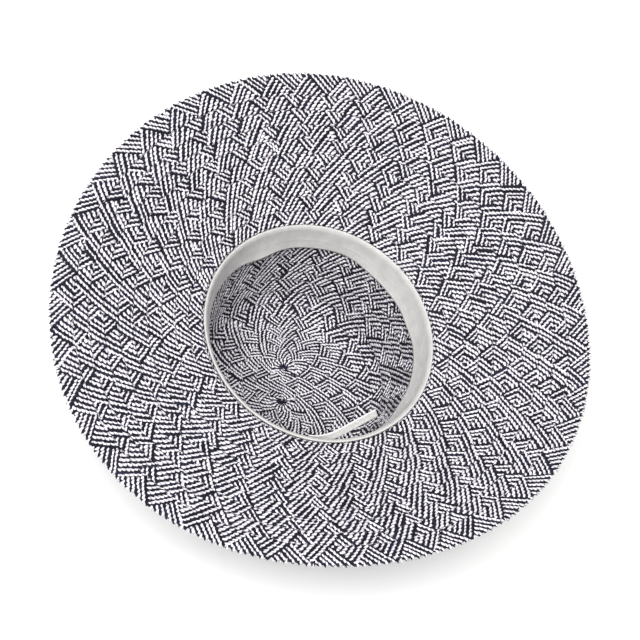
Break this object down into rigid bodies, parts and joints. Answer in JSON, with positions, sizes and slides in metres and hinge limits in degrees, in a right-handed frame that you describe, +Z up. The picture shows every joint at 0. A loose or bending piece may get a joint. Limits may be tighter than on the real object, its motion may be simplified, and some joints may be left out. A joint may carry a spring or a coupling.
{
  "type": "wide-brim beach hat",
  "caption": "Wide-brim sun hat of sewn straw braid, lying on its crown with the hollow head opening up, a ribbon sweatband inside and a loose tape end at its seam.",
  "frame": {"origin": "on the floor under the middle of the crown's flat tip, on which the hat lies", "axes": "+Z up out of the head opening, +Y towards the front of the hat along the head's length, -Y the back with the sweatband's seam, +X across the head"},
  "size_m": [0.4069, 0.3918, 0.179],
  "materials": {
    "straw_braid": "matt paper-straw braid of navy and natural white cords",
    "ribbon": "matt light grey woven ribbon",
    "tape": "matt white woven tape"
  },
  "bodies": {
    "root": {"crown": "straw_braid", "brim": "straw_braid", "sweatband": "ribbon", "size_tape": "tape"}
  },
  "joints": []
}
